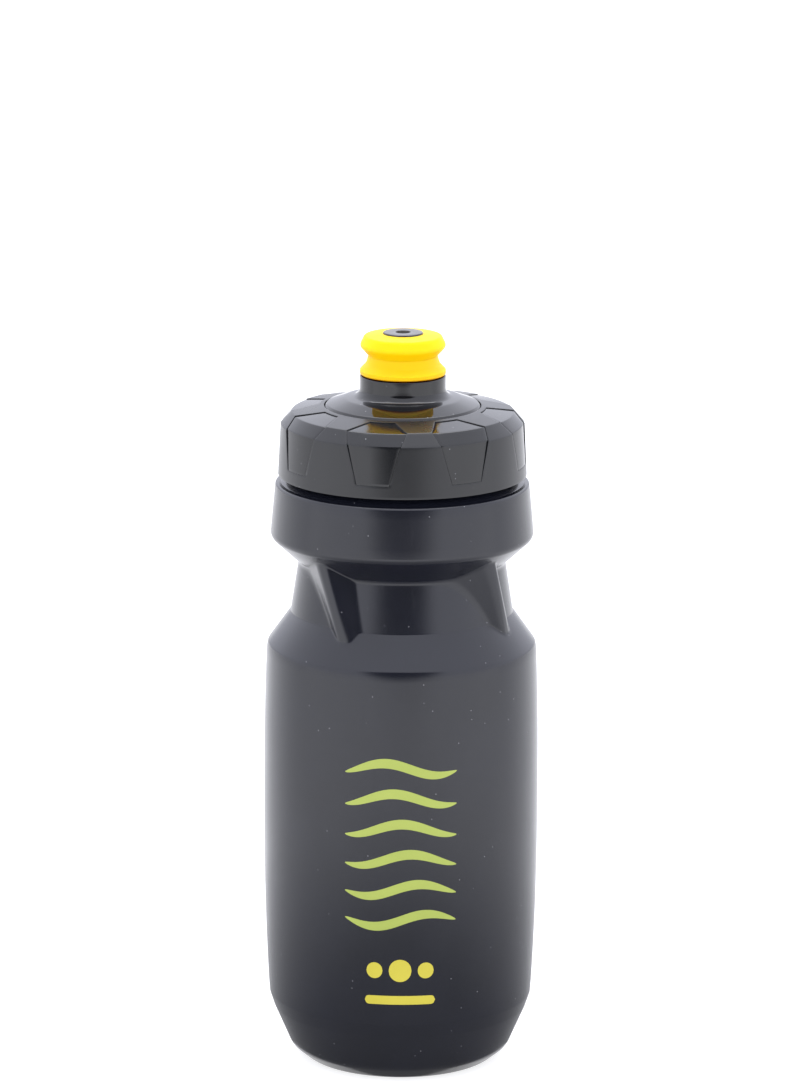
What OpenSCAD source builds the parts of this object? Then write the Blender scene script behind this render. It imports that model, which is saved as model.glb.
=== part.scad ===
// Sports squeeze bottle with a screw cap and a push-pull spout.
// Millimetres. Origin: centre of the base. +Z up. The printed front faces -Y.

/* [Bottle body] */
// Largest diameter of the bottle, at mid height
body_d = 73.8; // [73:0.1:75]
// Height of the widest band, which is a true cylinder
band_h = 14; // [10:1:20]
// Wall thickness of the blow-moulded bottle
wall = 1.2; // [0.9:0.1:1.4]
// Height of the shoulder crease above the base
shoulder_z = 115; // [113:0.5:117]
// Rise of the hollow under the base
punt_h = 3; // [2:0.5:4]

/* [Waist] */
// Radius of the waist floor just under the collar
waist_top_r = 27.7; // [27:0.1:28.5]
// Radius of the waist floor at the shoulder
waist_low_r = 29.8; // [29:0.1:30.5]
// Radius of the narrow crests of the ribs
rib_crest_r = 32; // [31.5:0.1:32.3]
// Number of ribs, and of the pockets between them
rib_count = 4; // [4:1:4]

/* [Collar and neck] */
// Height of the top face of the collar
collar_top_z = 159.2; // [158.8:0.1:159.6]
// Largest radius of the collar, at its lower edge
collar_r = 35.3; // [34.5:0.05:35.5]
// Outside radius of the threaded neck
neck_r = 29; // [28.8:0.1:29.2]
// Height of the bottle's rim
rim_z = 172.5; // [172:0.1:172.5]

/* [Thread] */
// Rise of the cap in one turn
lead = 4.5; // [4.2:0.1:4.8]
// Turns of thread on the neck and in the cap
thread_turns = 1.25; // [1:0.05:1.25]
// How far a thread stands out of its wall
thread_h = 1.1; // [0.9:0.05:1.1]
// Play between the flanks, and between crest and wall
thread_gap = 0.3; // [0.25:0.05:0.35]

/* [Cap] */
// Height of the cap's lower edge
cap_z = 161.4; // [161:0.1:161.6]
// Outside radius of the cap at its lower edge
cap_low_r = 33.25; // [33:0.05:33.6]
// Outside radius of the cap under its chamfer
cap_high_r = 32.55; // [32.2:0.05:32.8]
// Thickness of the grip sleeve
sleeve_t = 1.4; // [1.2:0.1:1.5]
// Number of windows in the grip sleeve
window_count = 8; // [8:1:8]
// Depth of the windows below the sleeve's outside
window_depth = 0.45; // [0.4:0.05:0.9]
// Turn of the windows about the axis
window_turn = -13.8; // [-22:0.1:22]

/* [Spout and nozzle] */
// Outside radius of the spout
spout_r = 11.5; // [11.2:0.1:11.8]
// Top of the spout, just under the nozzle
spout_z = 188.2; // [188:0.1:188.3]
// Radius of the bore that the nozzle's piston slides in
bore_r = 9.3; // [9.2:0.05:9.4]
// Radial play of the sliding fits
slide_gap = 0.08; // [0.05:0.01:0.1]
// Travel of the nozzle from shut to open
nozzle_travel = 6; // [5:0.5:6]
// Radius of the head of the valve post
post_r = 5.3; // [5:0.05:5.5]
// Height of the whole bottle, to the top of the valve post
total_h = 199.8; // [199.7:0.1:200]

/* [Hidden] */
$fn = 96;
body_r = body_d / 2;
bulge_r = 800;
shoulder_r = 35.92;
neck_foot_w = 3.5;
neck_foot_h = 2.8;
band_z = 67;
thread_z = 164;
thread_base_w = 2.4;
thread_crest_w = 1;
neck_crest_r = neck_r + thread_h;
cap_bore_r = neck_crest_r + thread_gap;
cap_crest_r = cap_bore_r - thread_h;
flank_offset = (thread_base_w + thread_crest_w) / 2 - thread_gap / 2 + 0.1;
seat_z = rim_z + 1.5;
seat_in_r = 25.4;
cap_edge_z = 175.2;
cap_brow_z = 178.5;
cap_brow_r = 29.6;
window_sill_z = cap_z + 3.4;
window_low_w = 4.5;
window_edge_w = 7.3;
window_brow_w = 8.2;
window_tip_w = 3.4;
window_tip_r = 22.3;
dome_r = 20.8;
dome_z = 180;
guide_z = 175;
guide_r = 12.3;
seat_r = 10.6;
seat_top_z = 177.2;
lip_z = 186.8;
stem_r = 8.65;
core_in_r = 6.9;
low_anchor = [10.2, 189.3, 190.3];
high_anchor = [10, 195.2, 196.4];
core_top_z = 197.4;
piston_top_z = lip_z - nozzle_travel;
piston_h = 2.4;
piston_z = piston_top_z - piston_h;
groove_h = 1.2;
bite_z = spout_z + 0.25;
bite_skin = 0.02;
orifice_gap = 0.06;
dimple_h = 0.6;

// ---- outlines: paths of [radius, height, corner radius], inside on the left ----

function unit(v) = v / norm(v);
function left_of(v) = [-v[1], v[0]];
function flat(p) = [p[0], p[1]];
function heading(c, i) = unit(flat(c[i + 1]) - flat(c[i]));
function turns_left(c, i) = cross(heading(c, i - 1), heading(c, i)) > 0;

// Moves a path inwards by t. Outer corners get tighter and inner corners wider.
function inset(c, t) =
    [for (i = [0 : len(c) - 1])
        let (a = left_of(heading(c, max(i - 1, 0))),
             b = left_of(heading(c, min(i, len(c) - 2))),
             p = flat(c[i]) + t * (a + b) / (1 + a * b),
             ends = i == 0 || i == len(c) - 1,
             r = ends || c[i][2] == 0 ? 0 : max(0, c[i][2] + (turns_left(c, i) ? -t : t)))
        [max(p[0], 0), p[1], r]];

// One rounded corner, as the points of its arc.
function corner(a, p, b, r, n = 3) =
    let (u = unit(a - p), v = unit(b - p), half = acos(u * v) / 2,
         c = p + unit(u + v) * r / sin(half),
         s = p + u * r / tan(half) - c, e = p + v * r / tan(half) - c,
         turn = atan2(cross(s, e), s * e), start = atan2(s[1], s[0]))
    [for (k = [0 : n]) c + r * [cos(start + turn * k / n), sin(start + turn * k / n)]];

function rounded(c) =
    [for (i = [0 : len(c) - 1])
        for (p = i == 0 || i == len(c) - 1 || c[i][2] < 0.05
                 ? [flat(c[i])]
                 : corner(flat(c[i - 1]), flat(c[i]), flat(c[i + 1]), c[i][2]))
            p];

// A solid of revolution under a path, closed along the axis.
module turned(c) {
    p = rounded(c);
    rotate_extrude()
        polygon(concat([[0, p[0][1]]], p, [[0, p[len(p) - 1][1]]]));
}

// ---- bottle body ----

function bulge(z) =
    let (d = max(band_z - z, 0, z - band_z - band_h))
    body_r - bulge_r + sqrt(bulge_r * bulge_r - d * d);

function body_path() = concat(
    [[0, punt_h, 0], [14, punt_h - 0.4, 3], [21.5, 0, 0.8], [24.8, 0, 5],
     [29.5, 3.8, 5], [34.15, 14.4, 3], [35.35, 18, 1.5]],
    [for (z = [21, 32, 43, 55]) [bulge(z), z, 0]],
    [[body_r, band_z, 0], [body_r, band_z + band_h, 0]],
    [for (z = [92, 103]) [bulge(z), z, 0]],
    [[bulge(shoulder_z - 1), shoulder_z - 1, 0],
     [shoulder_r, shoulder_z + 0.4, 1.8],
     [waist_low_r, shoulder_z + 9, 1],
     [waist_top_r, shoulder_z + 22.8, 1.8],
     [collar_r, shoulder_z + 29.75, 2.2],
     [collar_r - 1.35, collar_top_z, 0.9]]);

// The neck stands on a sloping foot, which lies in the shade under the cap.
function neck_path() = [[neck_r + neck_foot_w, collar_top_z, 0],
                        [neck_r, collar_top_z + neck_foot_h, 0.3],
                        [neck_r, rim_z - 0.5, 0.3], [neck_r - 0.5, rim_z, 0]];

// The neck for the cavity, which runs out past the rim.
function open_neck_path() = [[neck_r, collar_top_z, 0.3], [neck_r, rim_z + 1, 0]];

// The pockets' two flat sides: [azimuth, tilt, distance from the axis at rib_mid_z, width].
rib_mid_z = 130;
rib_low_z = 119.5;
rib_high_z = 142.4;
steep_side = [8.1, 13.3, 24.54, 5];
gentle_side = [17.4, -11.6, 25.95, 40];

module side_cutter(side, t) {
    rotate([0, 0, side[0]])
        translate([0, t / cos(side[1]) - side[2], rib_mid_z])
            rotate([-side[1], 0, 0])
                translate([-40, -30, -25])
                    cube([40 + side[3], 30, 50]);
}

// The crests of the ribs are what the pockets leave of a plain cylinder.
module ribs(t) {
    difference() {
        translate([0, 0, rib_low_z])
            cylinder(r = rib_crest_r - t, h = rib_high_z - rib_low_z);
        for (k = [0 : rib_count - 1])
            rotate([0, 0, k * 360 / rib_count]) {
                side_cutter(steep_side, t);
                side_cutter(gentle_side, t);
            }
    }
}

// A helical thread with tapered ends, from a root radius to a crest radius.
module thread(root_r, crest_r, start_turn) {
    steps = 60;
    lead_in = 6;
    out = sign(crest_r - root_r);
    pts = [for (i = [0 : steps])
              let (a = 360 * (start_turn + thread_turns * i / steps),
                   f = min(1, 0.25 + i / lead_in, 0.25 + (steps - i) / lead_in),
                   rc = root_r + (crest_r - root_r) * f, z = lead * a / 360)
              for (q = [[root_r, -thread_base_w], [rc, -thread_crest_w],
                        [rc, thread_crest_w], [root_r, thread_base_w]])
                  [q[0] * cos(a), q[0] * sin(a), z + out * q[1] / 2]];
    sides = [for (i = [0 : steps - 1], k = [0 : 3])
                let (a = 4 * i + k, b = 4 * i + (k + 1) % 4)
                for (f = [[a, b, a + 4], [b, b + 4, a + 4]]) f];
    caps = [[3, 2, 1, 0], [for (k = [0 : 3]) 4 * steps + k]];
    polyhedron(points = pts, faces = concat(sides, caps));
}

module bottle_body() {
    color("#3a3c40") {
        difference() {
            union() {
                turned(concat(body_path(), neck_path()));
                ribs(0);
            }
            turned(inset(concat(body_path(), open_neck_path()), wall));
            ribs(wall);
        }
        translate([0, 0, thread_z])
            thread(neck_r - 0.3, neck_crest_r, 0);
    }
}

// ---- cap ----

function cap_path() = [[cap_low_r, cap_z, 0], [cap_high_r, cap_edge_z, 0.6],
                       [cap_brow_r, cap_brow_z, 0.5], [dome_r + 0.2, dome_z, 0]];

// One window: a tapered slot down the side, and a wedge across the top face.
module window(gap) {
    side = [[window_low_w - gap, window_sill_z + gap], [window_edge_w - gap, cap_edge_z],
            [window_brow_w - gap, cap_brow_z], [window_brow_w - gap, dome_z + 2]];
    top = [[window_tip_w - gap, -window_tip_r - gap], [window_brow_w - gap, -28.5]];
    rotate([90, 0, 0])
        translate([0, 0, 28.4])
            linear_extrude(6)
                polygon(concat(side, [for (i = [3 : -1 : 0]) [-side[i][0], side[i][1]]]));
    translate([0, 0, dome_z - 5])
        linear_extrude(7)
            polygon([top[0], top[1], [-top[1][0], top[1][1]], [-top[0][0], top[0][1]]]);
}

module windows(gap) {
    for (k = [0 : window_count - 1])
        rotate([0, 0, window_turn + k * 360 / window_count])
            window(gap);
}

module cap_grip_sleeve() {
    color("#2e3033")
        difference() {
            turned(cap_path());
            turned(inset(cap_path(), sleeve_t));
            translate([0, 0, dome_z - 5])
                cylinder(r = dome_r + 0.2, h = 10);
            translate([0, 0, cap_z - 1])
                cylinder(r = cap_low_r - sleeve_t, h = 1.1);
            windows(0);
        }
}

// The raised pads of the shell that fill the sleeve's windows.
module window_pads() {
    intersection() {
        difference() {
            turned(inset(cap_path(), window_depth));
            turned(inset(cap_path(), sleeve_t + 0.15));
        }
        windows(0.06);
    }
}

module cap_shell() {
    fit = 0.03;
    outside = concat(
        rounded(inset(cap_path(), sleeve_t + fit)),
        [[dome_r, dome_z - sleeve_t - 0.1]],
        rounded([[dome_r, dome_z - 0.25, 0], [20.2, dome_z + 0.45, 0.4], [15.5, 182.1, 6],
                 [spout_r, 182.8, 2.6], [spout_r, spout_z, 0.3],
                 [stem_r + slide_gap + 0.3, spout_z, 0]]));
    inside = [[stem_r + slide_gap, spout_z - 0.3], [stem_r + slide_gap, lip_z],
              [bore_r, lip_z], [bore_r, seat_top_z], [seat_r, seat_top_z],
              [seat_r, guide_z + 0.6], [seat_r - 0.35, guide_z + 0.4],
              [seat_r - 0.35, guide_z], [guide_r, guide_z], [guide_r, 180.3],
              [20.4, 177.2], [seat_in_r, 176.1], [seat_in_r, seat_z],
              [cap_bore_r, seat_z], [cap_bore_r, cap_z + 0.5],
              [cap_bore_r + 0.3, cap_z + 0.2]];
    color("#1b1c1f") {
        rotate_extrude()
            polygon(concat(outside, inside));
        window_pads();
        translate([0, 0, thread_z - flank_offset])
            thread(cap_bore_r + 0.3, cap_crest_r, 0.25);
    }
}

module ring(inner_r, outer_r, z, h) {
    translate([0, 0, z])
        difference() {
            cylinder(r = outer_r, h = h);
            translate([0, 0, -1])
                cylinder(r = inner_r, h = h + 2);
        }
}

module cap_gasket() {
    color("#d9d9d4")
        ring(seat_in_r + 0.2, cap_bore_r - 0.3, rim_z + 0.05, 1.4);
}

// ---- valve ----

module valve_post() {
    spider_z = guide_z + 0.7;
    spider_h = seat_top_z - spider_z - 0.05;
    hub_r = 3.4;
    ring_r = seat_r - 0.1;
    color("#26272b") {
        difference() {
            rotate_extrude()
                polygon([[0, spider_z], [hub_r, spider_z], [hub_r, spider_z + spider_h],
                         [2.9, spider_z + 6], [2.9, total_h - 5.4], [post_r, total_h - 3],
                         [post_r, total_h - 0.25], [post_r - 0.25, total_h], [0, total_h]]);
            translate([0, 0, total_h - dimple_h])
                cylinder(r = 2.1, h = 3);
        }
        ring(ring_r - 1.5, ring_r, spider_z, spider_h);
        for (k = [0 : 2])
            rotate([0, 0, 30 + 120 * k])
                translate([hub_r - 0.5, -1.2, spider_z])
                    cube([ring_r - 0.7 - hub_r, 2.4, spider_h]);
    }
}

module nozzle_core() {
    groove_z = piston_z + (piston_h - groove_h) / 2;
    color("#f0c800")
        rotate_extrude()
            polygon([[core_in_r, piston_z], [bore_r - slide_gap, piston_z],
                     [bore_r - slide_gap, groove_z], [stem_r - 0.65, groove_z],
                     [stem_r - 0.65, groove_z + groove_h],
                     [bore_r - slide_gap, groove_z + groove_h],
                     [bore_r - slide_gap, piston_top_z], [stem_r, piston_top_z],
                     [stem_r, low_anchor[1]], [low_anchor[0], low_anchor[1]],
                     [low_anchor[0], low_anchor[2]], [stem_r, low_anchor[2]],
                     [stem_r, high_anchor[1]], [high_anchor[0], high_anchor[1]],
                     [high_anchor[0], high_anchor[2]], [stem_r, high_anchor[2]],
                     [stem_r, core_top_z], [core_in_r, core_top_z]]);
}

module nozzle_bite() {
    outside = rounded([[stem_r + 0.4, bite_z, 0], [spout_r, bite_z, 0.4],
                       [spout_r - 0.05, 189.75, 0.35], [9.85, 191.4, 2], [9.25, 193.55, 0.25],
                       [11.62, 196.2, 1.3], [10.3, 198.9, 0.8],
                       [post_r + orifice_gap, total_h - 0.35, 0]]);
    wall_r = stem_r + bite_skin;
    low_r = low_anchor[0] + bite_skin;
    high_r = high_anchor[0] + bite_skin;
    inside = [[post_r + orifice_gap, core_top_z + bite_skin], [wall_r, core_top_z + bite_skin],
              [wall_r, high_anchor[2] + bite_skin], [high_r, high_anchor[2] + bite_skin],
              [high_r, high_anchor[1] - bite_skin], [wall_r, high_anchor[1] - bite_skin],
              [wall_r, low_anchor[2] + bite_skin], [low_r, low_anchor[2] + bite_skin],
              [low_r, low_anchor[1] - bite_skin], [wall_r, low_anchor[1] - bite_skin],
              [wall_r, bite_z + 0.3]];
    color("#ffdd10")
        rotate_extrude()
            polygon(concat(outside, inside));
}

module nozzle_o_ring() {
    color("#1a1a1a")
        translate([0, 0, piston_z + piston_h / 2])
            rotate_extrude()
                translate([stem_r - 0.03, 0])
                    circle(r = 0.58);
}

bottle_body();
cap_gasket();
cap_shell();
cap_grip_sleeve();
valve_post();
nozzle_core();
nozzle_bite();
nozzle_o_ring();
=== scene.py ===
"""Looks for the sports squeeze bottle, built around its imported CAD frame. Metres, +Z up, front at -Y."""
import math

import bmesh
import bpy
import numpy as np
from mathutils import Matrix, Vector


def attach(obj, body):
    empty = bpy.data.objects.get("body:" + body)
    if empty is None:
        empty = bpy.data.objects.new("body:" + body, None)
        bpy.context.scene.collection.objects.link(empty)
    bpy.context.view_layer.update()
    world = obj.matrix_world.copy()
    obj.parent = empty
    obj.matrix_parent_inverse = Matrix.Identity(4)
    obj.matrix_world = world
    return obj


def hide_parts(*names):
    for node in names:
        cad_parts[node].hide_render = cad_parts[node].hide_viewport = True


MM = 0.001
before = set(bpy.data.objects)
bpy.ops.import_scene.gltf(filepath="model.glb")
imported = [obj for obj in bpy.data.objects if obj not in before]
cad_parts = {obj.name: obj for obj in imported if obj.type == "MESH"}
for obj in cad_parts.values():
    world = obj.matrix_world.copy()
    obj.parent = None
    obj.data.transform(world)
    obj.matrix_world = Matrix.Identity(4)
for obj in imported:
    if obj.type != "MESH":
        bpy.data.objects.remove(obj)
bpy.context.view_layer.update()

# ---- driving sizes in millimetres, as in the CAD ----
WALL = 1.2
BODY_R, BULGE_R, BAND = 36.9, 800.0, (67.0, 81.0)
SHOULDER = 115.0
RIB_COUNT, RIB_CREST, RIB_MID = 4, 32.0, 130.0
RIB_Z = (119.5, 142.4)
# A pocket's flat sides: azimuth and tilt in degrees, and distance from the axis at RIB_MID.
STEEP, GENTLE = (8.1, 13.3, 24.54), (17.4, -11.6, 25.95)
STEEP_END = 8.9  # degrees past its azimuth at which the steep side ends
NECK_R, RIM_Z, COLLAR_TOP = 29.0, 172.5, 159.2
FOOT_W, FOOT_H = 3.5, 2.8
LEAD, TURNS, THREAD_H, THREAD_Z = 4.5, 1.25, 1.1, 164.0
CAP_BORE, CAP_THREAD_Z = 30.4, 163.475
SLEEVE_T, PAD_DEPTHS, SIDE_GAP, END_GAP = 1.4, (0.3, 0.1, 0.2), 0.08, 0.02
DOME_R, DOME_Z = 20.8, 180.0
SPOUT_R, SPOUT_Z, LIP_Z, BORE_R = 11.5, 188.2, 186.8, 9.3
SEAT_R, SEAT_TOP, GUIDE_R, GUIDE_Z = 10.6, 177.2, 12.3, 175.0
STEM_R, CORE_R = 8.65, 6.9
PISTON_R, PISTON, GROOVE = 9.22, (178.4, 180.75), (179.0, 180.2)
POST_R, STALK_R, HUB_R, SPIDER, TOTAL = 5.3, 2.9, 3.4, (175.7, 177.15), 199.8
DIMPLE_R, DIMPLE_H = 2.1, 0.6
WINDOWS, WINDOW_TURN = 8, -13.8


# ---- outlines: points of [radius, height, corner radius] ----
def rounded(path, n=5):
    """The path's points, with an arc of n steps at each corner that has a radius."""
    out = []
    for i, p in enumerate(path):
        here = np.array(p[:2], float)
        r = p[2] if len(p) > 2 else 0
        if i in (0, len(path) - 1) or r < 0.02:
            out.append(here)
            continue
        a = np.array(path[i - 1][:2], float) - here
        b = np.array(path[i + 1][:2], float) - here
        la, lb = np.linalg.norm(a), np.linalg.norm(b)
        a, b = a / la, b / lb
        half = math.acos(np.clip(a @ b, -1, 1)) / 2
        if half > math.pi / 2 - 0.002:
            out.append(here)
            continue
        r = min(r, 0.49 * min(la, lb) * math.tan(half))
        mid = (a + b) / np.linalg.norm(a + b)
        c = here + mid * r / math.sin(half)
        s, e = here + a * r / math.tan(half) - c, here + b * r / math.tan(half) - c
        sweep = math.atan2(s[0] * e[1] - s[1] * e[0], s @ e)
        start = math.atan2(s[1], s[0])
        out += [c + r * np.array([math.cos(start + sweep * k / n), math.sin(start + sweep * k / n)])
                for k in range(n + 1)]
    return [tuple(p) for p in out]


def resampled(points, step):
    """The same outline with no stretch longer than step, and its corners kept."""
    out = [points[0]]
    for a, b in zip(points, points[1:]):
        n = max(1, math.ceil(math.dist(a, b) / step))
        out += [(a[0] + (b[0] - a[0]) * k / n, a[1] + (b[1] - a[1]) * k / n) for k in range(1, n + 1)]
    return out


def mesh_object(name, verts, faces):
    """A smooth-shaded object in the scene."""
    me = bpy.data.meshes.new(name)
    me.from_pydata(verts, [], faces)
    me.validate()
    me.update()
    ob = bpy.data.objects.new(name, me)
    bpy.context.scene.collection.objects.link(ob)
    me.polygons.foreach_set("use_smooth", [True] * len(me.polygons))
    return ob


def lathe(name, outline, n=192, shape=None, closed=True):
    """A surface of revolution. Points on the axis become one vertex; shape(phi, r, z) may move a ring."""
    phi = np.arange(n) * 2 * math.pi / n
    verts, rings = [], []
    for r, z in outline:
        if r < 1e-6:
            rings.append([len(verts)] * n)
            verts.append((0, 0, z * MM))
            continue
        rr = shape(phi, r, z) if shape else np.full(n, r)
        rings.append(list(range(len(verts), len(verts) + n)))
        verts += list(zip(rr * np.sin(phi) * MM, -rr * np.cos(phi) * MM, np.full(n, z * MM)))
    if closed and outline[0] != outline[-1] and outline[0][0] > 1e-6:
        rings.append(rings[0])
    faces = []
    for a, b in zip(rings, rings[1:]):
        for k in range(n):
            j = (k + 1) % n
            q = [a[k], a[j], b[j], b[k]]
            q = [v for i, v in enumerate(q) if v not in q[:i]]
            if len(q) > 2:
                faces.append(q)
    return mesh_object(name, verts, faces)


def join(name, objects):
    """One object from several, with their modifiers applied first."""
    bm = bmesh.new()
    dg = bpy.context.evaluated_depsgraph_get()
    for ob in objects:
        me = bpy.data.meshes.new_from_object(ob.evaluated_get(dg))
        bm.from_mesh(me)
        bpy.data.meshes.remove(me)
    me = bpy.data.meshes.new(name)
    bm.to_mesh(me)
    bm.free()
    for ob in objects:
        bpy.data.objects.remove(ob)
    made = bpy.data.objects.new(name, me)
    bpy.context.scene.collection.objects.link(made)
    me.polygons.foreach_set("use_smooth", [True] * len(me.polygons))
    return made


def outward(ob):
    """Turns the faces of a closed mesh outwards."""
    bm = bmesh.new()
    bm.from_mesh(ob.data)
    bmesh.ops.recalc_face_normals(bm, faces=bm.faces)
    bm.to_mesh(ob.data)
    bm.free()
    return ob


def creased(ob, angle):
    """Smooth shading, split where two faces meet at more than angle degrees."""
    ob.data.set_sharp_from_angle(angle=math.radians(angle))
    return ob


# ---- bottle body ----
def bulge(z):
    """The body's radius: a straight band with a shallow arc above and below it."""
    d = max(BAND[0] - z, 0, z - BAND[1])
    return BODY_R - BULGE_R + math.sqrt(BULGE_R**2 - d * d)


def smax(a, b, k):
    """The larger of two values, blended where they differ by less than k."""
    h = np.maximum(k - np.abs(a - b), 0) / k
    return np.maximum(a, b) + h * h * k / 4


def smin(a, b, k):
    """The smaller of two values, blended the same way."""
    return -smax(-a, -b, k)


S = SHOULDER
OUTER = [(0, 3, 0), (14, 2.6, 3), (21.5, 0, 0.8), (24.8, 0, 5), (29.5, 3.8, 5), (34.15, 14.4, 3),
         (35.35, 18, 1.5)]
OUTER += [(bulge(z), z, 0) for z in np.linspace(21, BAND[0], 14)]
OUTER += [(BODY_R, BAND[1], 0)] + [(bulge(z), z, 0) for z in np.linspace(84, S - 1, 10)]
OUTER += [(35.92, S + 0.4, 1.8), (29.8, S + 9, 1), (27.7, S + 22.8, 1.8),
          (35.3, S + 29.75, 2.2), (33.95, COLLAR_TOP, 0.9),
          (NECK_R + FOOT_W, COLLAR_TOP, 0.2), (NECK_R, COLLAR_TOP + FOOT_H, 0.5),
          (NECK_R, RIM_Z - 0.5, 0.4), (NECK_R - 0.5, RIM_Z, 0.2)]
INNER = [(NECK_R - WALL, RIM_Z, 0.2), (NECK_R - WALL, COLLAR_TOP - 1.2, 1.5), (31.2, COLLAR_TOP - 1.4, 0.8),
         (32.75, COLLAR_TOP - 1.5, 0.8), (34.0, S + 30.3, 1.2), (26.5, S + 23.2, 3), (28.65, S + 8.4, 1),
         (34.8, S + 0.2, 1)]
INNER += [(bulge(z) - WALL, z, 0) for z in np.linspace(S - 2, 21, 14)]
INNER += [(33, 15, 3), (28.6, 5, 4), (24.6, 1.25, 3), (21.9, 1.25, 1), (14.2, 3.75, 3), (0, 4.15, 0)]


def facet(z, side, t):
    """Distance from the axis to a pocket's flat side at some height, t inside its face."""
    _, tilt, reach = side
    return reach - math.tan(math.radians(tilt)) * (z - RIB_MID) - t / math.cos(math.radians(tilt))


def ribs(phi, r, z, t):
    """Radius with the ribs: the crest cylinder less the two flat sides of each pocket."""
    margin, far, side_blend, root_blend = 2, 99, 0.9, 0.6
    if not RIB_Z[0] - margin < z < RIB_Z[1] + margin:
        return np.full(len(phi), r)
    out = np.full(len(phi), RIB_CREST - t)
    for k in range(RIB_COUNT):
        for side in (STEEP, GENTLE):
            azimuth = math.radians(side[0] + 90 * k)
            local = (phi - azimuth + math.pi) % (2 * math.pi) - math.pi
            near = np.abs(local) < math.radians(70)
            wall = np.where(near, facet(z, side, t) / np.maximum(np.cos(local), 0.3), far)
            if side is STEEP:
                wall = np.where(np.degrees(local) > STEEP_END, far, wall)
            out = smin(out, wall, side_blend)
    return smax(np.full(len(phi), r), out, root_blend)


def thread(phi, z, start, low):
    """A thread's height at each angle of a ring. It climbs from z = low at the angle start."""
    half_foot, flank, run_out = 1.2, 0.7, 0.1
    out = np.zeros(len(phi))
    for k in range(2):
        turn = ((phi - start) % (2 * math.pi)) / (2 * math.pi) + k
        rise = np.clip((half_foot - np.abs(z - low - LEAD * turn)) / flank, 0, 1)
        ends = np.clip(turn / run_out, 0, 1) * np.clip((TURNS - turn) / run_out, 0, 1)
        out = np.maximum(out, THREAD_H * rise * rise * (3 - 2 * rise) * ends)
    return out


def outer_shape(phi, r, z):
    """The outside of the body: ribs at the waist, and the thread on the neck."""
    neck_from = 160
    if z <= neck_from:
        return ribs(phi, r, z, 0)
    if r < NECK_R - 0.01:
        return np.full(len(phi), r)
    return r + thread(phi, z, math.pi / 2, THREAD_Z)


def inner_shape(phi, r, z):
    """The inside follows the ribs, a wall further in."""
    return ribs(phi, r, z, WALL) if r < 33.5 and z < 142 else np.full(len(phi), r)


def fine(points, step):
    """Close rows where the ribs and the thread are, and rows 3 mm apart elsewhere."""
    rib_rows, neck_rows = (117, 145), 159.5
    out = [points[0]]
    for a, b in zip(points, points[1:]):
        low, high = min(a[1], b[1]), max(a[1], b[1])
        busy = (rib_rows[0] < high and low < rib_rows[1]) or low > neck_rows
        out += resampled([a, b], step if busy and high - low > 0.05 else 3.0)[1:]
    return out


outer = lathe("outer", fine(rounded(OUTER, 8), 0.3), 840, outer_shape, closed=False)
inner = lathe("inner", fine(rounded(INNER, 3), 0.7), 420, inner_shape, closed=False)
body = join("bottle", [outer, inner])
bm = bmesh.new()
bm.from_mesh(body.data)
bmesh.ops.remove_doubles(bm, verts=bm.verts, dist=2e-7)
bmesh.ops.bridge_loops(bm, edges=[e for e in bm.edges if e.is_boundary])
bmesh.ops.recalc_face_normals(bm, faces=bm.faces)
bm.to_mesh(body.data)
bm.free()
body.data.polygons.foreach_set("use_smooth", [True] * len(body.data.polygons))

# ---- cap: one outline carries the sleeve, its windows and the pads in them ----
EDGE_Z, BROW_R, BROW_Z = 175.2, 29.6, 178.5
CAP = [(33.25, 161.4), (32.55, EDGE_Z), (BROW_R, BROW_Z), (21.0, DOME_Z)]
# Where a window begins and ends, and half its width at the sill, the edge, the brow and the tip.
SILL_Z, TIP_R = 164.8, 22.3
SILL_W, EDGE_W, BROW_W, TIP_W = 4.5, 7.3, 8.2, 3.4
ROWS_BELOW, ROWS_PAST = 5, 3  # rows of the grid below the sill, and past the tip


def line_at(i, depths):
    """A side of the cap's outline moved inwards by its depth: a point of it, and its direction."""
    a, b = np.array(CAP[i]), np.array(CAP[i + 1])
    d = (b - a) / np.linalg.norm(b - a)
    return a - depths[i] * np.array([d[1], -d[0]]), d


def meet(i, depths):
    """Where a side meets the next one."""
    (p, d), (q, e) = line_at(i, depths), line_at(i + 1, depths)
    t = np.linalg.solve(np.array([d, -e]).T, q - p)[0]
    return p + t * d


def run(a, b, n):
    """n points from a towards b, without b itself."""
    return [a + (b - a) * k / n for k in range(n)]


def cap_rows(depths=(0, 0, 0), gap=0.0):
    """The outline at these depths, always in the same rows, and the rows of a window's sill and tip."""
    edge, brow = meet(0, depths), meet(1, depths)
    (low, up), (third, across) = line_at(0, depths), line_at(2, depths)
    end = third + across * math.dist(CAP[2], CAP[3])
    sill = low + up * ((SILL_Z + gap - low[1]) / up[1])
    tip = brow + across * ((TIP_R + gap - brow[0]) / across[0])
    arcs = []
    for corner, before, after, r in ((edge, low, brow, 0.6), (brow, edge, tip, 0.5)):
        arcs.append([np.array(q) for q in rounded([(*before, 0), (*corner, r), (*after, 0)], 4)[1:-1]])
    rows = run(low, sill, ROWS_BELOW) + run(sill, arcs[0][0], 16) + arcs[0][:-1]
    rows += run(arcs[0][-1], arcs[1][0], 6) + arcs[1][:-1] + run(arcs[1][-1], tip, 11)
    rows += run(tip, end, ROWS_PAST) + [end]
    return rows, ROWS_BELOW, len(rows) - ROWS_PAST - 1


def half_width(r, z):
    """Half the width of a window at a point of the outline, in millimetres."""
    if z < EDGE_Z:
        return SILL_W + (EDGE_W - SILL_W) * (max(z, SILL_Z) - SILL_Z) / (EDGE_Z - SILL_Z)
    if z < BROW_Z:
        return EDGE_W + (BROW_W - EDGE_W) * (z - EDGE_Z) / (BROW_Z - EDGE_Z)
    return BROW_W - (BROW_W - TIP_W) * np.clip((BROW_R - r) / (BROW_R - TIP_R), 0, 1)


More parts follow.
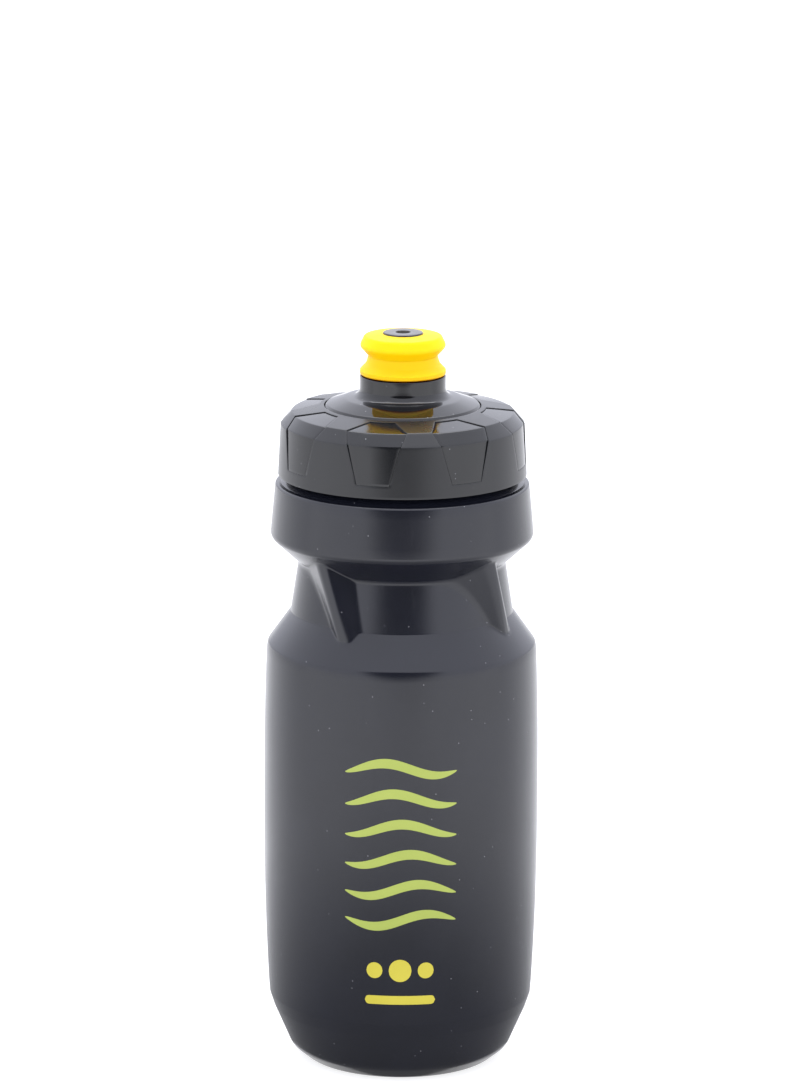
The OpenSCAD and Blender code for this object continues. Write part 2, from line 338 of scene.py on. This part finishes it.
def window_grid(depths, inside, side_gap=0.0, end_gap=0.0):
    """The windowed band below the outline by these depths: the panes if inside, or the lands between."""
    land, pane, sill_lift = 10, 14, 0.8
    outline, sill, tip = cap_rows()
    rows = cap_rows(depths, end_gap)[0]
    period = 2 * math.pi / WINDOWS
    us = np.concatenate([np.linspace(-1, -0.5, land)[:-1], np.linspace(-0.5, 0.5, pane),
                         np.linspace(0.5, 1, land)[1:]])
    cols = len(us) - 1
    width = cols * WINDOWS
    verts, faces = [], []
    for (r0, z0), (r, z) in zip(outline, rows):
        if inside:
            r += (r0 - r) * sill_lift * (1 - np.clip((z0 - SILL_Z) / (EDGE_Z - SILL_Z), 0, 1))
        gap = side_gap if z0 < EDGE_Z - 0.5 else end_gap
        a = math.asin((half_width(r0, z0) - gap) / r)
        for w in range(WINDOWS):
            centre = math.radians(WINDOW_TURN) + w * period
            for u in us[:-1]:
                over = max(0, abs(u) - 0.5) * 2
                f = math.copysign(a * min(1, 2 * abs(u)) + over * (period / 2 - a), u)
                verts.append((r * math.sin(centre + f) * MM, -r * math.cos(centre + f) * MM, z * MM))
    for i in range(len(rows) - 1):
        for w in range(WINDOWS):
            for c in range(cols):
                in_pane = sill <= i < tip and us[c] >= -0.5 - 1e-9 and us[c + 1] <= 0.5 + 1e-9
                if in_pane != inside:
                    continue
                a = i * width + w * cols + c
                b = i * width + (w * cols + c + 1) % width
                faces.append((a, b, b + width, a + width))
    ob = mesh_object("grid", verts, faces)
    bm = bmesh.new()
    bm.from_mesh(ob.data)
    bmesh.ops.delete(bm, geom=[v for v in bm.verts if not v.link_faces], context="VERTS")
    bm.to_mesh(ob.data)
    bm.free()
    return ob


def thick(ob, thickness, bevel, segments=3):
    """Gives a surface thickness inwards and rounds its rims."""
    sharpest = math.radians(50)
    m = ob.modifiers.new("thick", "SOLIDIFY")
    m.thickness, m.offset = thickness * MM, -1
    b = ob.modifiers.new("rims", "BEVEL")
    b.width, b.segments, b.limit_method, b.angle_limit = bevel * MM, segments, "ANGLE", sharpest
    b.use_clamp_overlap = True
    return ob


sleeve = join("cap_sleeve", [thick(window_grid((0, 0, 0), False), SLEEVE_T, 0.34)])
pads = thick(window_grid(PAD_DEPTHS, True, SIDE_GAP, END_GAP), SLEEVE_T + 0.1 - PAD_DEPTHS[0], 0.08, 2)

SHELL = rounded([(CAP_BORE + 0.3, 161.6, 0), (CAP_BORE + 0.9, 161.43, 0.1), (31.78, 161.43, 0.25),
                 (31.12, 174.6, 0.6), (28.7, 177.2, 0.5), (DOME_R, 178.55, 0),
                 (DOME_R, DOME_Z - 0.25, 0.15), (20.2, DOME_Z + 0.45, 0.5), (15.5, 182.1, 6),
                 (SPOUT_R, 182.8, 2.6), (SPOUT_R, SPOUT_Z, 0.35), (STEM_R + 0.38, SPOUT_Z, 0.1),
                 (STEM_R + 0.08, SPOUT_Z - 0.3, 0), (STEM_R + 0.08, LIP_Z, 0.05), (BORE_R, LIP_Z, 0.05),
                 (BORE_R, SEAT_TOP, 0.1), (SEAT_R, SEAT_TOP, 0.05), (SEAT_R, GUIDE_Z + 0.6, 0.1),
                 (SEAT_R - 0.35, GUIDE_Z + 0.4, 0.1), (SEAT_R - 0.35, GUIDE_Z, 0.2),
                 (GUIDE_R, GUIDE_Z, 0.3), (GUIDE_R, 180.3, 1), (20.4, 177.2, 1), (25.4, 176.1, 0.4),
                 (25.4, 174.0, 0.2), (CAP_BORE, 174.0, 0.3), (CAP_BORE, 161.9, 0)], 12)


def bored(phi, r, z):
    """Adds the cap's thread, which stands inwards from its bore."""
    if abs(r - CAP_BORE) > 0.02 or not 161.8 < z < 174:
        return np.full(len(phi), r)
    return r - thread(phi, z, math.pi, CAP_THREAD_Z)


def fine_bore(points):
    """Close rows on the bore, where the thread is."""
    out = [points[0]]
    for a, b in zip(points, points[1:]):
        inside = abs(a[0] - CAP_BORE) < 0.02 and abs(b[0] - CAP_BORE) < 0.02
        out += resampled([a, b], 0.3 if inside else 1.5)[1:]
    return out


shell_turned = outward(lathe("shell", fine_bore(SHELL), 288, bored))
turned_faces = len(shell_turned.data.polygons)
shell = creased(join("cap_dome", [shell_turned, pads]), 55)
creased(sleeve, 55)

# ---- gasket, valve post, nozzle ----
GASKET = rounded([(25.6, 172.9, 0), (25.6, 172.55, 0.15), (30.1, 172.55, 0.15), (30.1, 173.95, 0.15),
                  (25.6, 173.95, 0.15), (25.6, 173.0, 0)], 3)
gasket = creased(outward(lathe("gasket", GASKET)), 40)

POST = rounded([(0, SPIDER[0], 0), (HUB_R, SPIDER[0], 0.3), (HUB_R, SPIDER[1], 0.2),
                (STALK_R, 181.7, 0.5), (STALK_R, 194.4, 1.2), (POST_R, 196.8, 1.2),
                (POST_R, TOTAL, 0.25), (DIMPLE_R, TOTAL - 0.02, 0.15),
                (1.5, TOTAL - 0.52, 0.5), (0, TOTAL - DIMPLE_H, 0)], 5)
head = outward(lathe("head", POST, 96, closed=False))
RING = rounded([(9.0, 176.4, 0), (9.0, SPIDER[0], 0.2), (10.5, SPIDER[0], 0.2), (10.5, SPIDER[1], 0.2),
                (9.0, SPIDER[1], 0.2), (9.0, 176.5, 0)], 3)
ring = outward(lathe("ring", RING, 96))


def spoke(k):
    """A bar from the hub to the ring, at the spider's height."""
    length, width, height, out, middle = 6.6, 2.4, 1.44, 6.2, 176.42
    bm = bmesh.new()
    bmesh.ops.create_cube(bm, size=1)
    bmesh.ops.scale(bm, vec=(length * MM, width * MM, height * MM), verts=bm.verts)
    bmesh.ops.translate(bm, vec=(out * MM, 0, middle * MM), verts=bm.verts)
    bmesh.ops.bevel(bm, geom=bm.edges[:], offset=0.2 * MM, segments=3, affect="EDGES", profile=0.5)
    bmesh.ops.rotate(bm, matrix=Matrix.Rotation(math.radians(30 + 120 * k), 3, "Z"), verts=bm.verts)
    me = bpy.data.meshes.new("spoke")
    bm.to_mesh(me)
    bm.free()
    ob = bpy.data.objects.new("spoke", me)
    bpy.context.scene.collection.objects.link(ob)
    return ob


post = creased(join("valve_stem", [head, ring] + [spoke(k) for k in range(3)]), 45)

CORE = rounded([(CORE_R, 190, 0), (CORE_R, PISTON[0], 0.2), (PISTON_R, PISTON[0], 0.2),
                (PISTON_R, GROOVE[0], 0.1), (8.0, GROOVE[0], 0.15), (8.0, GROOVE[1], 0.15),
                (PISTON_R, GROOVE[1], 0.1), (PISTON_R, PISTON[1], 0.2),
                (STEM_R, PISTON[1], 0.2), (STEM_R, 189.3, 0), (10.2, 189.3, 0.1), (10.2, 190.3, 0.1),
                (STEM_R, 190.3, 0), (STEM_R, 195.2, 0), (10, 195.2, 0.1), (10, 196.4, 0.1),
                (STEM_R, 196.4, 0), (STEM_R, 197.4, 0.1), (CORE_R, 197.4, 0.1), (CORE_R, 190.1, 0)], 3)
core = creased(outward(lathe("nozzle_inner", CORE, 128)), 40)

BITE = rounded([(9.05, 188.45, 0), (SPOUT_R, 188.45, 0.4), (SPOUT_R - 0.05, 189.75, 0.35), (9.85, 191.4, 2),
                (9.25, 193.55, 0.25), (11.62, 196.2, 1.3), (10.3, 198.9, 0.8),
                (5.4, 199.43, 0.15), (5.36, 197.42, 0), (8.67, 197.42, 0), (8.67, 196.42, 0),
                (10.02, 196.42, 0), (10.02, 195.18, 0), (8.67, 195.18, 0), (8.67, 190.32, 0),
                (10.22, 190.32, 0), (10.22, 189.28, 0), (8.67, 189.28, 0), (8.67, 188.75, 0)], 10)
bite = creased(outward(lathe("nozzle_tip", resampled(BITE, 0.8), 256)), 50)

SEAL_R, SEAL_Z, SEAL_TUBE = 8.62, 179.6, 0.58
tube = [(SEAL_R + SEAL_TUBE * math.cos(t), SEAL_Z + SEAL_TUBE * math.sin(t))
        for t in np.linspace(0, 2 * math.pi, 17)[:-1]]
seal = outward(lathe("seal_ring", tube, 128))


# ---- prints: thin shells on the front of the body ----
def on_body(x, z, lift):
    """A point of the body's surface, from its distance round the front and its height."""
    r = bulge(z) + lift
    a = x / BODY_R
    return (r * math.sin(a) * MM, -r * math.cos(a) * MM, z * MM)


def patch(name, columns):
    """A closed thin shell on the body. columns is a list of (x, low z, high z)."""
    rows, lifts = 5, (0.004, 0.045)
    verts, faces = [], []
    for lift in lifts:
        for x, z0, z1 in columns:
            verts += [on_body(x, z0 + (z1 - z0) * k / (rows - 1), lift) for k in range(rows)]
    layer = len(columns) * rows
    for c in range(len(columns) - 1):
        for k in range(rows - 1):
            a = c * rows + k
            faces.append((a, a + rows, a + rows + 1, a + 1))
            faces.append(tuple(layer + v for v in (a + 1, a + rows + 1, a + rows, a)))
    last = (len(columns) - 1) * rows
    for k in range(rows - 1):
        faces.append((k, k + 1, k + 1 + layer, k + layer))
        faces.append((last + k + 1, last + k, last + k + layer, last + k + 1 + layer))
    for c in range(len(columns) - 1):
        a, b = c * rows, (c + 1) * rows
        faces.append((b, a, a + layer, b + layer))
        a, b = a + rows - 1, b + rows - 1
        faces.append((a, b, b + layer, a + layer))
    return outward(mesh_object(name, verts, faces))


def wave(index, count):
    """One tapered stripe of a stack, each with its own phase."""
    lowest, stack, reach, swing, blunt = 47.5, 41.5, 15.2, 1.7, 0.16
    middle = lowest + index * stack / (count - 1)
    cols = []
    for x in np.linspace(-reach, reach, 90):
        t = x / reach
        thickness = 2.5 * (1 - abs(t) ** 2.6) ** 0.7 + blunt
        centre = middle + swing * math.sin(t * math.pi * 1.05 + index * 0.5)
        cols.append((x, centre - thickness / 2, centre + thickness / 2))
    return patch("stripe", cols)


def dot(x0, z0, r):
    """A round spot."""
    cols = []
    for t in np.linspace(-1, 1, 33):
        h = r * math.sqrt(max(0.0, 1 - t * t)) + 0.02
        cols.append((x0 + r * t, z0 - h, z0 + h))
    return patch("dot", cols)


def pill(x0, z0, w, h):
    """A bar with round ends."""
    cols = []
    for x in np.linspace(-w / 2, w / 2, 50):
        over = max(0.0, abs(x) - (w / 2 - h / 2))
        half = math.sqrt(max(0.0, (h / 2) ** 2 - over * over)) + 0.02
        cols.append((x0 + x, z0 - half, z0 + half))
    return patch("pill", cols)


STRIPES, DOTS_Z, BAR_Z = 6, 33.5, 25.2
waves = creased(join("print_waves", [wave(i, STRIPES) for i in range(STRIPES)]), 40)
dots = [dot(x, DOTS_Z, r) for x, r in ((-7, 2.2), (0, 3.1), (7, 2.2))]
marks = creased(join("print_dots", dots + [pill(0, BAR_Z, 19.5, 2.4)]), 40)


# ---- materials ----
def feed(tree, socket, value):
    """Links an output to a socket, or sets the socket's own value."""
    if hasattr(value, "is_output"):
        tree.links.new(value, socket)
    else:
        socket.default_value = value


class Nodes:
    """Short calls for building one material's node tree."""

    def __init__(self, name):
        self.mat = bpy.data.materials.new(name)
        self.mat.use_nodes = True
        self.tree = self.mat.node_tree
        self.bsdf = self.tree.nodes["Principled BSDF"]
        self.coord = self.tree.nodes.new("ShaderNodeTexCoord").outputs["Object"]

    @classmethod
    def of(cls, mat):
        """The same calls for a material that is already there."""
        n = cls.__new__(cls)
        n.mat, n.tree = mat, mat.node_tree
        n.bsdf = n.tree.nodes["Principled BSDF"]
        n.coord = n.tree.nodes["Texture Coordinate"].outputs["Object"]
        return n

    def add(self, kind, **inputs):
        """A node with its inputs linked or set by name."""
        node = self.tree.nodes.new("ShaderNode" + kind)
        for key, value in inputs.items():
            feed(self.tree, node.inputs[key.replace("_", " ")], value)
        return node

    def noise(self, scale, detail=3, rough=0.5, stretch=(1, 1, 1)):
        m = self.add("Mapping", Vector=self.coord, Scale=stretch)
        node = self.add("TexNoise", Vector=m.outputs[0], Scale=scale, Detail=detail, Roughness=rough)
        return node.outputs[0]

    def ramp(self, value, lo, hi, a=0.0, b=1.0):
        """Maps lo to hi onto a to b, and stays at a or b outside."""
        n = self.tree.nodes.new("ShaderNodeMapRange")
        self.tree.links.new(value, n.inputs[0])
        for k, v in zip((1, 2, 3, 4), (lo, hi, a, b)):
            n.inputs[k].default_value = v
        return n.outputs[0]

    def mix(self, factor, a, b):
        n = self.tree.nodes.new("ShaderNodeMix")
        n.data_type = "RGBA"
        self.tree.links.new(factor, n.inputs[0])
        for k, v in ((6, a), (7, b)):
            feed(self.tree, n.inputs[k], v if hasattr(v, "is_output") else (*v, 1))
        return n.outputs[2]

    def math(self, op, a, b):
        n = self.tree.nodes.new("ShaderNodeMath")
        n.operation = op
        for k, v in enumerate((a, b)):
            feed(self.tree, n.inputs[k], v)
        return n.outputs[0]

    def length(self, vector):
        """The length of a vector."""
        n = self.add("VectorMath", Vector=vector)
        n.operation = "LENGTH"
        return n.outputs["Value"]

    def bump(self, height, strength, distance, under=None):
        n = self.add("Bump", Height=height, Strength=strength, Distance=distance)
        if under is not None:
            self.tree.links.new(under, n.inputs["Normal"])
        return n.outputs[0]

    def set(self, **inputs):
        """Links or sets inputs of the material's shader, and returns the material."""
        for key, value in inputs.items():
            feed(self.tree, self.bsdf.inputs[key.replace("_", " ")], value)
        return self.mat


def plastic(name, low, high, rough, grain, specks=0.0, scratch=0.0, bump=0.00001, painted_shade=(), **more):
    """Moulded plastic: cloudy colour, mottled gloss, a fine grain, faint scratches and dust.

    painted_shade holds (low z, high z, colour) for painted shade towards the bottom: below low z the
    surface has that colour, and above high z its own.
    """
    n = Nodes(name)
    colour = n.mix(n.ramp(n.noise(55, 4), 0.3, 0.7), low, high)
    # Painted shade: each band darkens the colour towards the bottom of the part.
    for z0, z1, shade_colour in painted_shade:
        height = n.add("SeparateXYZ", Vector=n.coord).outputs["Z"]
        colour = n.mix(n.ramp(height, z0 * MM, z1 * MM), shade_colour, colour)
    gloss = n.ramp(n.noise(90, 2), 0.3, 0.7, rough[0], rough[1])
    if scratch:
        fine_lines = n.noise(900, 2, 0.5, (1, 1, 0.06))
        gloss = n.math("ADD", gloss, n.ramp(fine_lines, 0.62, 0.75, 0, scratch))
    if specks:
        v = n.add("TexVoronoi", Vector=n.coord, Scale=480.0)
        v.feature = "F1"
        rare = n.ramp(v.outputs["Color"], 0.72, 0.74)
        near = n.ramp(v.outputs["Distance"], 0.09, 0.05)
        colour = n.mix(n.math("MULTIPLY", n.math("MULTIPLY", rare, near), specks), colour, (0.6, 0.6, 0.62))
    normal = n.bump(n.noise(grain, 3), 0.35, bump)
    normal = n.bump(n.noise(45, 1), 0.06, 0.00004, normal)
    return n.set(Base_Color=colour, Roughness=gloss, IOR=1.5, Normal=normal, **more)


body_mat = plastic("satin_charcoal", (0.005, 0.0056, 0.0092), (0.0062, 0.007, 0.0116), (0.20, 0.235),
                   2200, specks=0.24, scratch=0.04)
sleeve_mat = plastic("satin_black_grip", (0.0052, 0.0055, 0.0064), (0.0064, 0.0068, 0.0078),
                     (0.27, 0.31), 3200, specks=0.32)
gloss_mat = plastic("polished_black", (0.0045, 0.0045, 0.005), (0.006, 0.006, 0.007), (0.03, 0.06),
                    900, specks=0.32, bump=0.000003)
pad_mat = plastic("satin_pads", (0.005, 0.0053, 0.0062), (0.0068, 0.0072, 0.008), (0.10, 0.15), 1400,
                  specks=0.32, scratch=0.05)
post_mat = plastic("stem_black", (0.022, 0.020, 0.018), (0.028, 0.026, 0.023), (0.07, 0.10), 1500)
# The dimple in the middle of the post's end is matt.
pit = Nodes.of(post_mat)
off_axis = pit.length(pit.add("Mapping", Vector=pit.coord, Scale=(1, 1, 0)).outputs[0])
pit.set(Specular_IOR_Level=pit.ramp(off_axis, (DIMPLE_R - 0.25) * MM, DIMPLE_R * MM, 0.05, 0.5))
core_mat = plastic("yellow_hard", (0.72, 0.38, 0.003), (0.76, 0.42, 0.004), (0.16, 0.24), 1500)
# The soft tip is painted more orange low down and brown at its lowest lip. This is painted shade under it,
# and it also browns the tip's reflection in the dome.
bite_mat = plastic("yellow_soft", (0.95, 0.495, 0.0008), (0.97, 0.525, 0.001), (0.40, 0.46), 1800,
                   Subsurface_Weight=0.7, Subsurface_Radius=(0.004, 0.0026, 0.0003), Subsurface_Scale=1.0,
                   Specular_IOR_Level=0.13,
                   painted_shade=((188.5, 193.0, (0.95, 0.46, 0.0007)), (188.5, 188.95, (0.30, 0.085, 0.001))))
gasket_mat = plastic("pale_seal", (0.58, 0.58, 0.55), (0.66, 0.66, 0.62), (0.45, 0.55), 2500)
seal_mat = plastic("black_seal", (0.016, 0.016, 0.016), (0.022, 0.022, 0.022), (0.30, 0.42), 2500)
lime_mat = plastic("ink_lime", (0.27, 0.325, 0.05), (0.30, 0.355, 0.06), (0.32, 0.42), 3500)
ink_mat = plastic("ink_yellow", (0.42, 0.36, 0.022), (0.46, 0.40, 0.03), (0.32, 0.42), 3500)

for ob, mat, body_name, slot_name, node in (
        (body, body_mat, "bottle", "bottle_plastic", "bottle_body"),
        (sleeve, sleeve_mat, "cap", "cap_grip", "cap_grip_sleeve"),
        (shell, gloss_mat, "cap", "cap_gloss", "cap_shell"),
        (gasket, gasket_mat, "cap_seal", "gasket_rubber", "cap_gasket"),
        (post, post_mat, "cap", "post_plastic", "valve_post"),
        (core, core_mat, "nozzle", "nozzle_hard", "nozzle_core"),
        (bite, bite_mat, "nozzle", "nozzle_soft", "nozzle_bite"),
        (seal, seal_mat, "nozzle", "seal_rubber", "nozzle_o_ring"),
        (waves, lime_mat, "bottle", "print_lime", None),
        (marks, ink_mat, "bottle", "print_yellow", None)):
    ob.data.materials.clear()
    ob.data.materials.append(mat)
    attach(ob, body_name)
    if node:
        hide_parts(node)

shell.data.materials.append(pad_mat)
for face in shell.data.polygons[turned_faces:]:
    face.material_index = 1

# ---- floor, light and camera ----
FLOOR_Z, GROUND_Z = -0.05, 0.2  # both in millimetres
floor = outward(lathe("floor", [(r, FLOOR_Z) for r in (0, 400, 1500, 9000)], 96, closed=False))
# Painted light: the floor glows, brighter in front of the bottle than behind it. This lights the bottle's
# front and its reflections, and fills in its contact shadow.
floor_nodes = Nodes("glowing_floor")
along = floor_nodes.add("SeparateXYZ", Vector=floor_nodes.coord)
glow = floor_nodes.ramp(along.outputs["Y"], -0.2, 0.05, 1.1, 0.68)
floor.data.materials.append(floor_nodes.set(Base_Color=(0.4, 0.4, 0.4, 1), Roughness=0.75,
                                            Emission_Color=(1, 1, 1, 1), Emission_Strength=glow))

softbox = bpy.data.lights.new("top", "AREA")
softbox.shape, softbox.size, softbox.size_y, softbox.energy = "RECTANGLE", 0.9, 0.9, 7
top = bpy.data.objects.new("top", softbox)
bpy.context.scene.collection.objects.link(top)
top.location = (0, 0.25, 1.1)
top.rotation_euler = (Vector((0, 0, 0.1)) - top.location).to_track_quat("-Z", "Y").to_euler()


def oval(name, y, centre_z, half_width, half_height, n=48):
    """A flat upright oval, in rings."""
    angles = np.linspace(0, 2 * math.pi, n + 1)[:-1]
    rings = [[(f * half_width * math.sin(t), y, centre_z + f * half_height * math.cos(t)) for t in angles]
             for f in (0.02, 0.35, 0.7, 1.0)]
    faces = [(a * n + k, a * n + (k + 1) % n, (a + 1) * n + (k + 1) % n, (a + 1) * n + k)
             for a in range(len(rings) - 1) for k in range(n)]
    return mesh_object(name, [v for r in rings for v in r], faces + [tuple(range(n))])


def reflected(ob, nodes, colour, scale, shift, fade):
    """Makes a dark card with a soft edge that only reflections show. fade is (start, end, opacity)."""
    apart = nodes.length(nodes.add("Mapping", Vector=nodes.coord, Location=shift, Scale=scale).outputs[0])
    alpha = nodes.ramp(apart, fade[0], fade[1], fade[2], 0.0)
    ob.data.materials.append(nodes.set(Base_Color=colour, Roughness=0.9, Alpha=alpha))
    ob.visible_camera = ob.visible_diffuse = ob.visible_shadow = False


# Painted reflection: a dark card in front of the bottle that only reflections show, for the dark room
# there.
CARD_Z, CARD_W, CARD_H = 0.30, 0.555, 0.31
card = oval("front_flag", -0.75, CARD_Z, CARD_W, CARD_H)
reflected(card, Nodes("front_flag"), (0.008, 0.008, 0.01, 1), (1 / CARD_W, 0, 1 / CARD_H),
          (0, 0, -CARD_Z / CARD_H), (0.6, 1.0, 1.0))


def ground_edge(phi, r, z):
    """The inner edge is close to the bottle in front and further off at its sides."""
    return r + 6.5 * np.sin(phi) ** 2 if r < 30 else np.full(len(phi), r)


# Painted shade in reflections: a dark sheet on the ground close round the bottle that only reflections
# show.
ground = lathe("ground_flag", [(r, GROUND_Z) for r in (25, 60, 120, 200, 300, 420)], 96, ground_edge,
               closed=False)
reflected(ground, Nodes("ground_flag"), (0.015, 0.015, 0.017, 1), (1.08, 1, 1), (0, 0.07, 0),
          (0.07, 0.28, 0.74))

world = bpy.data.worlds.new("tent")
bpy.context.scene.world = world
world.use_nodes = True
tree = world.node_tree
sky = tree.nodes["Background"]
sky.inputs[0].default_value = (0.945, 0.965, 1.08, 1)
# A bright tent, brightest above and in front of the bottle, less bright low down behind it.
BRIGHT, DIM = 1.78, 1.12
parts = tree.nodes.new("ShaderNodeSeparateXYZ")
tree.links.new(tree.nodes.new("ShaderNodeTexCoord").outputs["Generated"], parts.inputs[0])
behind = tree.nodes.new("ShaderNodeMath")
behind.operation = "MULTIPLY_ADD"
behind.inputs[1].default_value = -2
tree.links.new(parts.outputs["Z"], behind.inputs[0])
tree.links.new(parts.outputs["Y"], behind.inputs[2])
strength = tree.nodes.new("ShaderNodeMapRange")
tree.links.new(behind.outputs[0], strength.inputs[0])
for k, v in zip((1, 2, 3, 4), (0.2, 1.0, BRIGHT, DIM)):
    strength.inputs[k].default_value = v
tree.links.new(strength.outputs[0], sky.inputs[1])

camera = bpy.data.objects.new("camera", bpy.data.cameras.new("camera"))
bpy.context.scene.collection.objects.link(camera)
camera.data.lens, camera.data.sensor_width = 227.6, 36
camera.data.clip_start, camera.data.clip_end = 0.05, 50
camera.location = (-0.00055, -1.8, 0.5603)
pitch, roll = math.radians(13.1), math.radians(0.27)
forward = Vector((0, math.cos(pitch), -math.sin(pitch)))
turn = forward.to_track_quat("-Z", "Y").to_matrix().to_4x4()
camera.matrix_world = Matrix.Translation(camera.location) @ turn @ Matrix.Rotation(roll, 4, "Z")
bpy.context.scene.camera = camera
bpy.context.scene.view_settings.view_transform = "Standard"
